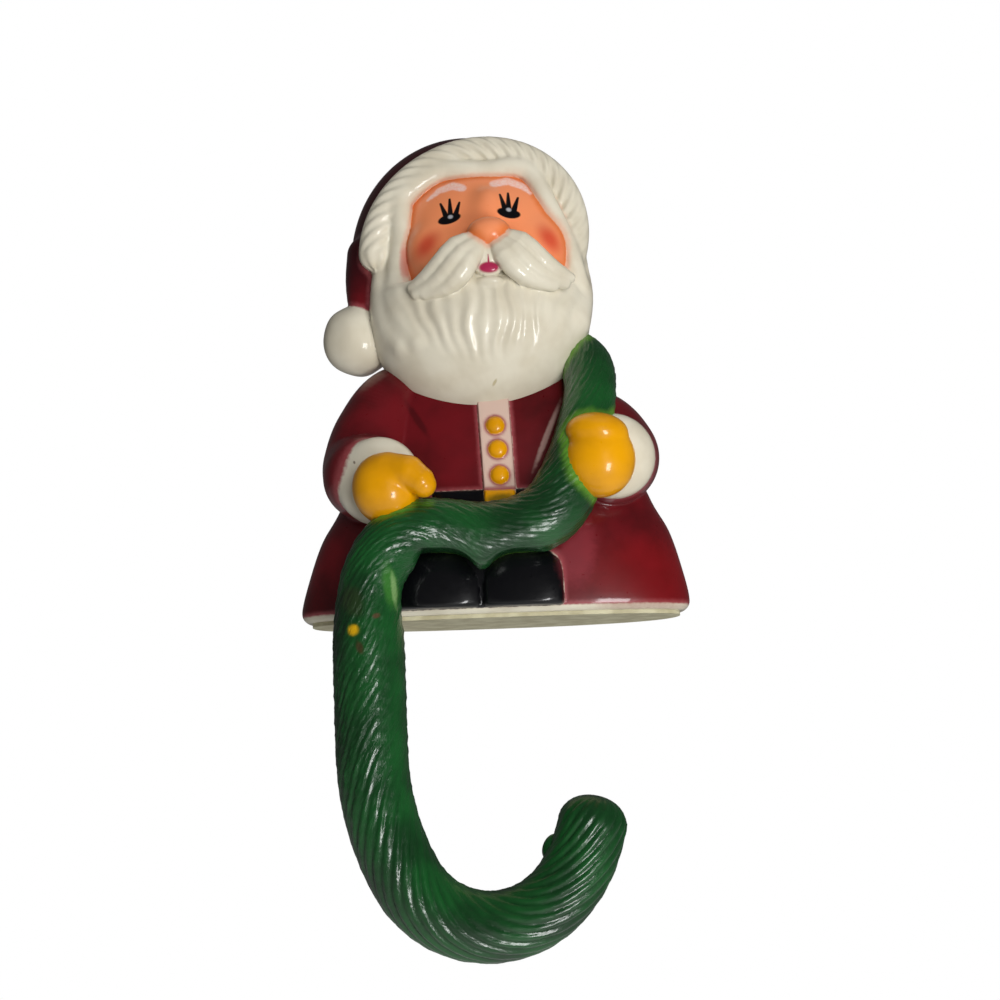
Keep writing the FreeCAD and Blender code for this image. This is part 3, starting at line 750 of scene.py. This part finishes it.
def groove_depth(twist, along):
    """Return how deep the grooves between the strands are, from the angle in the twisted rope."""
    strand = twist * ROPE_STRANDS / math.tau + 0.35 * np.sin(0.31 * along + 3 * twist)
    index = np.floor(strand + 0.5)
    fine = 1 - np.abs(np.cos(math.pi * strand)) ** 0.8
    beads = 0.5 + 0.5 * np.sin(along * 1.7 + index * 2.4) * np.sin(along * 0.61 + index * 5.1)
    ridge = ROPE_RIDGES * twist / 2 + 0.5 * np.sin(0.21 * along + 2 * twist)
    broad = 1 - np.abs(np.cos(ridge)) ** 0.8
    start, full = ROPE_BEND
    share = min(1.0, max(0.0, (along - start) / (full - start)))
    depth = (1 - share) * (0.5 * fine + 0.28 * beads * (1 - fine) + 0.2 * broad)
    return depth + share * (0.12 * fine + 0.75 * broad + 0.12 * beads)


def rope_faces(count):
    """Return the faces between a number of rings, and the fans that close both ends."""
    i, j = np.meshgrid(np.arange(count - 1), np.arange(ROPE_AROUND), indexing="ij")
    k = (j + 1) % ROPE_AROUND
    here, there = i * ROPE_AROUND, (i + 1) * ROPE_AROUND
    quads = np.stack([here + j, there + j, there + k, here + k], -1)
    faces = quads.reshape(-1, 4).tolist()
    end = (count - 1) * ROPE_AROUND
    first = count * ROPE_AROUND
    last = first + 1
    for j in range(ROPE_AROUND):
        k = (j + 1) % ROPE_AROUND
        faces += [(first, j, k), (last, end + k, end + j)]
    return faces


def rope():
    """Return the garland and hook as one rope of twisted strands with a round tip."""
    places, headings, radii, run, tip = route()
    side = np.array([0.0, -1.0, 0.0])
    angles = np.arange(ROPE_AROUND) * math.tau / ROPE_AROUND
    c, s = np.cos(angles)[:, None], np.sin(angles)[:, None]
    fade = 0.2 + 0.8 * np.clip((np.abs(np.cos(angles)) - 0.1) / 0.4, 0.0, 1.0)
    rings = []
    depths = []
    coils = []
    for place, heading, radius, along in zip(places, headings, radii, run):
        side = side - heading * (side @ heading)
        side /= math.sqrt(side @ side)
        other = np.cross(heading, side)
        twist = angles - math.tau * along / ROPE_LEAD
        depth = groove_depth(twist, along)
        depth *= min(1.0, radius / HOOK_TIP_RADIUS) ** 2 * fade
        reach = radius + 0.05 + 0.2 * fade - depth
        ring = place + reach[:, None] * (c * side + s * other)
        if place[2] > RIM_TOP:
            ring = on_boots(ring, place)
        rings.append(ring)
        depths.append(depth)
        coils.append(np.stack([np.cos(twist), np.sin(twist), np.full(ROPE_AROUND, along)], -1))

    points = np.concatenate(rings + [places[:1], tip[None, :]])
    piece = mesh_of("garland_hook", points, rope_faces(len(rings)))
    p = points.astype(np.float32)
    fields = [in_chunks(lambda q: whole(paints(q)), p) for paints in (body_paints, head_paints)]
    keep(piece, "near", np.minimum(*fields))
    keep(piece, "groove", np.concatenate([np.concatenate(depths), [0.0, 0.0]]))
    coils = np.concatenate(coils + [coils[0][:1], coils[-1][:1]])
    for k, axis in enumerate(("coil_x", "coil_y", "along")):
        keep(piece, axis, coils[:, k])
    return piece


class Nodes:
    """Short ways to add and join shader nodes."""

    def __init__(self, name):
        self.material = bpy.data.materials.new(name)
        self.material.use_nodes = True
        self.tree = self.material.node_tree
        self.shader = self.tree.nodes["Principled BSDF"]

    def put(self, socket, value):
        """Join or set a socket."""
        if isinstance(value, bpy.types.NodeSocket):
            self.tree.links.new(value, socket)
        else:
            socket.default_value = value

    def add(self, kind, **inputs):
        """Return a new node with its named inputs joined or set."""
        node = self.tree.nodes.new(kind)
        for key, value in inputs.items():
            self.put(node.inputs[key.replace("_", " ")], value)
        return node

    def look(self, **inputs):
        """Join or set named inputs of the material's own shader."""
        for key, value in inputs.items():
            self.put(self.shader.inputs[key.replace("_", " ")], value)

    def math(self, operation, *values, clamp=False):
        """Return the result of a math node."""
        node = self.tree.nodes.new("ShaderNodeMath")
        node.operation = operation
        node.use_clamp = clamp
        for socket, value in zip(node.inputs, values):
            self.put(socket, value)
        return node.outputs[0]

    def plus(self, a, b, clamp=False):
        """Return a sum."""
        return self.math("ADD", a, b, clamp=clamp)

    def minus(self, a, b):
        """Return a difference."""
        return self.math("SUBTRACT", a, b)

    def times(self, a, b):
        """Return a product."""
        return self.math("MULTIPLY", a, b)

    def hypot(self, a, b):
        """Return the length of a run across and up."""
        return self.math("SQRT", self.plus(self.times(a, a), self.times(b, b)))

    def highest(self, values):
        """Return the highest of several values."""
        best = values[0]
        for value in values[1:]:
            best = self.math("MAXIMUM", best, value)
        return best

    def value(self, name):
        """Return a value kept on the mesh."""
        node = self.tree.nodes.new("ShaderNodeAttribute")
        node.attribute_name = name
        return node.outputs["Fac"]

    def ramp(self, value, low, high, smooth=True):
        """Return a value mapped from low..high to 0..1."""
        node = self.tree.nodes.new("ShaderNodeMapRange")
        node.interpolation_type = "SMOOTHSTEP" if smooth else "LINEAR"
        self.put(node.inputs["Value"], value)
        node.inputs["From Min"].default_value = low
        node.inputs["From Max"].default_value = high
        return node.outputs[0]

    def mix(self, share, a, b):
        """Return a mix of two colours."""
        node = self.tree.nodes.new("ShaderNodeMix")
        node.data_type = "RGBA"
        self.put(node.inputs["Factor"], share)
        self.put(node.inputs[6], a)
        self.put(node.inputs[7], b)
        return node.outputs[2]

    def noise(self, scale, detail=3.0):
        """Return a noise of the place on the object, about 0.5 on average; scale is per metre."""
        place = self.tree.nodes.new("ShaderNodeTexCoord").outputs["Object"]
        node = self.add("ShaderNodeTexNoise", Vector=place, Scale=scale, Detail=detail)
        return node.outputs["Fac"]

    def axis(self, vector, name):
        """Return one axis of a vector."""
        node = self.tree.nodes.new("ShaderNodeSeparateXYZ")
        self.put(node.inputs[0], vector)
        return node.outputs[name]

    def place(self, name):
        """Return one axis of the place on the object, in millimetres."""
        place = self.tree.nodes.new("ShaderNodeTexCoord").outputs["Object"]
        return self.times(self.axis(place, name), 1 / MM)

    def front(self):
        """Return how far the surface faces the viewer, from -1 to 1."""
        outward = self.tree.nodes.new("ShaderNodeTexCoord").outputs["Normal"]
        return self.times(self.axis(outward, "Y"), -1.0)

    def spot(self, centre, radii, lean=0.0):
        """Return how far inside a leaning oval a place is: 1 in the middle and 0 at the edge."""
        x = self.minus(self.place("X"), centre[0])
        z = self.minus(self.place("Z"), centre[1])
        c, s = math.cos(math.radians(lean)), math.sin(math.radians(lean))
        u = self.plus(self.times(x, c / radii[0]), self.times(z, s / radii[0]))
        w = self.plus(self.times(x, -s / radii[1]), self.times(z, c / radii[1]))
        return self.minus(1.0, self.hypot(u, w))

    def stroke(self, start, end, wide, narrow):
        """Return how far inside a tapered brush stroke a place is, in millimetres."""
        run = (end[0] - start[0], end[1] - start[1])
        size = run[0] ** 2 + run[1] ** 2
        x = self.minus(self.place("X"), start[0])
        z = self.minus(self.place("Z"), start[1])
        along = self.plus(self.times(x, run[0] / size), self.times(z, run[1] / size), clamp=True)
        dx = self.minus(x, self.times(along, run[0]))
        dz = self.minus(z, self.times(along, run[1]))
        width = self.plus(wide, self.times(along, narrow - wide))
        return self.minus(width, self.hypot(dx, dz))

    def bump(self, strength, distance, height):
        """Give the surface a bump from a height."""
        node = self.add("ShaderNodeBump", Strength=strength, Distance=distance, Height=height)
        self.look(Normal=node.outputs[0])


def colour(red, green, blue):
    """Return a linear colour from screen values of 0 to 255."""
    rows = []
    for value in (red, green, blue):
        s = value / 255
        rows.append(s / 12.92 if s <= 0.04045 else ((s + 0.055) / 1.055) ** 2.4)
    return (*rows, 1.0)


WHITE = colour(226, 219, 199)
WHITE_DIM = colour(212, 203, 181)
MAROON = colour(106, 16, 24)
MAROON_DARK = colour(74, 11, 15)
# painted shade: the darker maroon that stands in for shade on the hat
MAROON_HAT_SHADE = colour(56, 8, 14)
MAROON_THIN = colour(158, 76, 80)
SKIN = colour(246, 148, 98)
SKIN_RED = colour(206, 66, 44)
SKIN_EDGE = colour(226, 118, 58)
BROW = colour(246, 212, 204)
GLINT = colour(200, 200, 205)
GOLD = colour(234, 162, 0)
GOLD_DARK = colour(214, 146, 0)
BLACK = colour(6, 6, 9)
PINK = colour(236, 216, 196)
MOUTH = colour(168, 40, 78)
GREEN = colour(18, 80, 32)
GREEN_DARK = colour(10, 50, 20)
GREEN_LIGHT = colour(96, 150, 40)
CREAM = colour(206, 200, 168)
CREAM_DARK = colour(180, 172, 138)
FLOOR = colour(245, 245, 243)

# Marks in the paint, and on the robe a painted shade in the left sleeve's crease: X and Z of the
# middle, half sizes, lean in degrees, colour and strength
ROPE_MARKS = (
    ((-25.4, 7.0), (2.4, 7.5), 8, colour(64, 128, 46), 0.6),
    ((-24.5, 6.0), (0.9, 5.5), 4, colour(150, 184, 120), 0.5),
    ((-34.6, 3.4), (3.6, 5.4), 20, colour(48, 52, 28), 0.45),
    ((-33.0, -8.0), (1.2, 2.4), 20, colour(70, 30, 22), 0.6),
    ((-28.9, -0.4), (1.3, 0.9), 20, colour(92, 40, 30), 0.6),
    ((-34.5, -3.6), (2.3, 2.3), 0, colour(60, 86, 10), 0.6),
    ((-34.5, -3.6), (1.7, 1.7), 0, colour(206, 160, 8), 1.0),
)
MARKS_AND_PAINTED_SHADE = (
    ((1.8, 59.3), (0.5, 1.3), -35, colour(176, 160, 112), 0.7),
    ((-24.3, 29.4), (0.35, 0.35), 0, colour(110, 70, 10), 0.8),
    ((-34.0, 39.3), (0.4, 0.6), 20, colour(90, 70, 50), 0.8),
    ((14.6, 46.0), (1.0, 12.0), -23, colour(206, 170, 158), 0.7),
    # painted shade: a dark maroon line in the crease between the left sleeve and the chest
    ((-18.3, 51.5), (1.3, 7.5), 30, colour(54, 6, 10), 0.6),
    ((2.6, 29.2), (5.6, 2.5), 0, colour(90, 84, 10), 0.8),
    ((38.0, 9.0), (20.0, 14.0), 0, colour(132, 14, 18), 0.45),
    ((21.0, 16.0), (6.5, 12.0), -8, colour(150, 52, 62), 0.5),
    ((-20.4, 92.6), (1.7, 6.0), 0, colour(206, 84, 74), 0.55),
)


def marks(n, base, rows, blur, facing):
    """Return the colour with marks laid over it where the surface faces the viewer."""
    for centre, radii, lean, tint, strength in rows:
        mark = n.ramp(n.plus(n.spot(centre, radii, lean), blur), 0.0, 0.6)
        base = n.mix(n.times(n.times(mark, facing), strength), base, tint)
    return base


def cloth(n, base, blotch, wander, behind):
    """Return the colour with the paint of robe and hat over it, thin along its edges, and the hat
    painted darker as shade.
    """
    cover = n.math("MAXIMUM", n.value("maroon"), n.math("MINIMUM", n.value("skin"), behind))
    rim = n.minus(n.place("Z"), RIM_TOP)
    edge = n.plus(n.math("MINIMUM", cover, rim), wander)
    paint = n.mix(n.ramp(blotch, 0.3, 0.75), MAROON, MAROON_DARK)
    # painted shade: the maroon is painted darker on the hat, higher up
    paint = n.mix(n.ramp(n.place("Z"), *HAT_SHADE_HEIGHTS), paint, MAROON_HAT_SHADE)
    faced = n.plus(0.7, n.times(n.ramp(n.front(), 0.1, 0.55), 0.3))
    paint = n.mix(n.times(n.ramp(edge, -0.2, 1.6), faced), MAROON_THIN, paint)
    return n.mix(n.ramp(edge, -0.3, 0.3), base, paint)


def placket(n, base, wander):
    """Return the colour with the paint of the robe's front panel over it."""
    pink = n.value("pink")
    paint = n.mix(n.ramp(pink, 0.0, 1.6), MAROON_THIN, PINK)
    return n.mix(n.ramp(n.plus(pink, wander), -0.2, 0.2), base, paint)


def face(n, base, wander, behind):
    """Return the colour with the face over it, redder at the cheeks and along its edge."""
    skin = n.plus(n.math("MINIMUM", n.value("skin"), n.times(behind, -1.0)), wander)
    paint = n.mix(n.ramp(skin, 0.0, 2.4), SKIN_EDGE, SKIN)
    for centre, lean in CHEEKS:
        blush = n.ramp(n.spot(centre, CHEEK_SIZE, lean), 0.0, 0.9)
        paint = n.mix(n.times(blush, 0.85), paint, SKIN_RED)
    base = n.mix(n.times(n.ramp(skin, -1.8, -0.2), 0.4), base, SKIN_EDGE)
    return n.mix(n.ramp(skin, -0.25, 0.25), base, paint)


def brows(n, base, wander, on_face):
    """Return the colour with the streaky brows over it."""
    brow = n.highest([n.stroke(*row) for row in BROWS])
    cover = n.times(n.ramp(n.plus(brow, wander), -0.3, 0.5), on_face)
    streaky = n.plus(0.62, n.times(n.ramp(n.noise(1500.0, 2.0), 0.35, 0.65), 0.3))
    return n.mix(n.times(cover, streaky), base, BROW)


def eyes(n, base, on_face):
    """Return the colour with the lids, lashes and glints over it."""
    ink = [n.stroke(start, end, *LASH_WIDTHS) for start, end in LASHES]
    ink += [n.times(n.spot(centre, LID_SIZE, lean), 1.4) for centre, lean in LIDS]
    base = n.mix(n.times(n.ramp(n.highest(ink), -0.12, 0.12), on_face), base, BLACK)
    for centre in GLINTS:
        glint = n.times(n.ramp(n.spot(centre, GLINT_SIZE), 0.0, 0.6), 0.7)
        base = n.mix(n.times(glint, on_face), base, GLINT)
    return base


def lips(n, base, on_face):
    """Return the colour with the painted mouth over it, and the thin run of paint above it."""
    mouth = n.ramp(n.spot(*LIPS), 0.0, 0.35)
    above = n.ramp(n.stroke(*LIP_RUN), -0.15, 0.15)
    return n.mix(n.times(n.math("MAXIMUM", mouth, above), on_face), base, MOUTH)


def gold_and_black(n, base, blotch, wander):
    """Return the colour with mittens, buttons, buckle, belt and boots over it."""
    gold = n.plus(n.value("gold"), wander)
    paint = n.mix(n.ramp(blotch, 0.35, 0.7), GOLD, GOLD_DARK)
    base = n.mix(n.ramp(gold, -0.35, 0.15), base, paint)
    black = n.plus(n.value("black"), n.times(wander, 1.2))
    return n.mix(n.ramp(black, -0.2, 0.2), base, BLACK)


def painted():
    """Return the material of the painted moulding, white plastic under sprayed paint."""
    n = Nodes("painted_moulding")
    blotch = n.noise(90.0)
    grain = n.noise(900.0, 2.0)
    wander = n.times(n.minus(grain, 0.5), 0.5)
    behind = n.minus(n.place("Y"), FACE_BACK)
    on_face = n.ramp(n.place("Y"), FACE_PAINT + 1, FACE_PAINT)

    base = n.mix(n.ramp(blotch, 0.35, 0.7), WHITE, WHITE_DIM)
    base = cloth(n, base, blotch, wander, behind)
    base = placket(n, base, wander)
    base = face(n, base, wander, behind)
    base = brows(n, base, wander, on_face)
    base = eyes(n, base, on_face)
    base = lips(n, base, on_face)
    base = gold_and_black(n, base, blotch, wander)
    base = marks(n, base, MARKS_AND_PAINTED_SHADE, n.times(wander, 0.6), n.ramp(n.front(), 0.05, 0.3))

    n.look(Base_Color=base, Roughness=n.ramp(grain, -1.0, 3.6, False), Specular_IOR_Level=0.25)
    n.look(Coat_Weight=0.5, Coat_Roughness=0.07)
    n.bump(0.06, 0.0004, n.noise(700.0))
    return n.material


def strand_grain(n):
    """Return a noise drawn out along the strands of the rope."""
    coil = n.add(
        "ShaderNodeCombineXYZ", X=n.times(n.value("coil_x"), 8.0),
        Y=n.times(n.value("coil_y"), 8.0), Z=n.times(n.value("along"), 0.4))
    grain = n.add("ShaderNodeTexNoise", Vector=coil.outputs[0], Scale=1.0, Detail=3.0)
    return grain.outputs["Fac"]


def green_rope():
    """Return the material of the garland and hook, lighter where other paint was sprayed near, with
    painted shade darkening the grooves between its strands.
    """
    n = Nodes("painted_rope")
    base = n.mix(n.ramp(n.noise(70.0), 0.35, 0.7), GREEN, GREEN_DARK)
    # painted shade: the deeper the groove between strands, the darker the green
    base = n.mix(n.times(n.ramp(n.value("groove"), 0.15, 0.8), 0.6), base, GREEN_DARK)
    near = n.plus(n.value("near"), n.times(n.minus(n.noise(200.0), 0.5), 3.0))
    overspray = n.ramp(n.times(near, -1.0), -2.8, -0.1)
    base = n.mix(n.times(overspray, 0.85), base, GREEN_LIGHT)
    blur = n.times(n.minus(n.noise(500.0), 0.5), 0.5)
    base = marks(n, base, ROPE_MARKS, blur, n.ramp(n.front(), 0.0, 0.2))

    n.look(Base_Color=base, Roughness=0.35, Specular_IOR_Level=0.3)
    n.look(Coat_Weight=0.8, Coat_Roughness=0.2)
    strength = n.minus(0.9, n.times(n.ramp(n.value("along"), *ROPE_BEND), 0.45))
    n.bump(strength, 0.0006, strand_grain(n))
    return n.material


def cream():
    """Return the material of the base plate."""
    n = Nodes("cream_plate")
    base = n.mix(n.ramp(n.noise(160.0, 6.0), 0.35, 0.65), CREAM, CREAM_DARK)
    n.look(Base_Color=base, Roughness=0.5)
    n.bump(0.1, 0.0004, n.noise(400.0))
    return n.material


def nub():
    """Return the bump inside the hook's tip."""
    rows = hook_rows()
    x, y, z, radius = rows[NUB_ROW]
    heading = math.atan2(rows[NUB_ROW + 1][2] - z, rows[NUB_ROW + 1][0] - x)
    reach = radius - NUB_SUNK
    place = (x - math.sin(heading) * reach, y + NUB_BACK, z + math.cos(heading) * reach)
    bpy.ops.mesh.primitive_uv_sphere_add(
        segments=48, ring_count=24, radius=MM, location=[k * MM for k in place])
    piece = bpy.context.object
    piece.name = "hook_nub"
    piece.scale = NUB_RADII
    piece.rotation_euler = (0, -heading, 0)
    bpy.ops.object.transform_apply(location=True, rotation=True, scale=True)
    bpy.ops.object.shade_smooth()
    keep(piece, "near", np.full(len(piece.data.vertices), FAR))
    return piece


def show(piece, material, slot, *nodes):
    """Give a piece its material, hang it from the root and hide the parts of model.glb that it stands
    in for.
    """
    piece.data.materials.clear()
    piece.data.materials.append(material)
    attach(piece, "root")
    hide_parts(*nodes)


def build():
    """Build the whole object."""
    paint = painted()
    green = green_rope()
    head = moulded("figure_head", head_paints, *HEAD_BOX)
    body = moulded("figure_body", body_paints, *BODY_BOX)
    for piece, material in ((head, paint), (body, paint), (rope(), green), (nub(), green)):
        show(piece, material, "painted_moulding", "figure_and_hook")
    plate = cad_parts["base_plate"]
    plate.data.materials.clear()
    plate.data.materials.append(cream())


def lamp(name, place, size, power):
    """Add an area lamp that faces the object; only the key lamp shows in the gloss."""
    data = bpy.data.lights.new(name, "AREA")
    data.shape = "RECTANGLE"
    data.size, data.size_y = size
    data.energy = power
    lamp_object = bpy.data.objects.new(name, data)
    bpy.context.collection.objects.link(lamp_object)
    lamp_object.location = place
    lamp_object.visible_glossy = name == "key"
    aim = LAMP_AIM - Vector(place)
    lamp_object.rotation_euler = aim.to_track_quat("-Z", "Y").to_euler()


def ground():
    """Add a floor far below, as white as the photograph's background."""
    bpy.ops.mesh.primitive_plane_add(size=12, location=(0, 0, FLOOR_HEIGHT))
    floor = bpy.context.object
    floor.name = "floor"
    n = Nodes("floor")
    seen = n.tree.nodes.new("ShaderNodeLightPath").outputs["Is Camera Ray"]
    glow = n.mix(n.ramp(n.noise(1.5), 0.0, 1.0), (1, 1, 1, 1), (0.98, 0.98, 0.98, 1))
    n.look(Base_Color=FLOOR, Roughness=0.9, Emission_Color=glow)
    n.look(Emission_Strength=n.ramp(seen, -0.15, 1.0, False))
    floor.data.materials.append(n.material)


def surroundings():
    """Add white surroundings that light the object only a little."""
    world = bpy.data.worlds.new("surroundings")
    bpy.context.scene.world = world
    world.use_nodes = True
    tree = world.node_tree
    back = tree.nodes["Background"]
    seen = tree.nodes.new("ShaderNodeLightPath").outputs["Is Camera Ray"]
    level = tree.nodes.new("ShaderNodeMapRange")
    tree.links.new(seen, level.inputs["Value"])
    level.inputs["To Min"].default_value = 0.07
    tree.links.new(level.outputs[0], back.inputs["Strength"])
    back.inputs["Color"].default_value = (1, 1, 1, 1)


def view():
    """Add the camera."""
    camera = bpy.data.objects.new("camera", bpy.data.cameras.new("camera"))
    bpy.context.collection.objects.link(camera)
    camera.data.lens = LENS
    camera.data.sensor_width = SENSOR
    camera.data.clip_start = 0.01
    pitch = math.radians(VIEW_PITCH)
    forward = Vector((0, math.cos(pitch), math.sin(pitch)))
    camera.location = VIEW_TARGET - forward * VIEW_DISTANCE
    spin = Matrix.Rotation(math.radians(-VIEW_ROLL), 3, "Z")
    camera.rotation_euler = (Matrix.Rotation(math.radians(90 + VIEW_PITCH), 3, "X") @ spin).to_euler()
    bpy.context.scene.camera = camera
    bpy.context.scene.view_settings.view_transform = "Standard"


build()
ground()
for row in LAMPS:
    lamp(*row)
surroundings()
view()
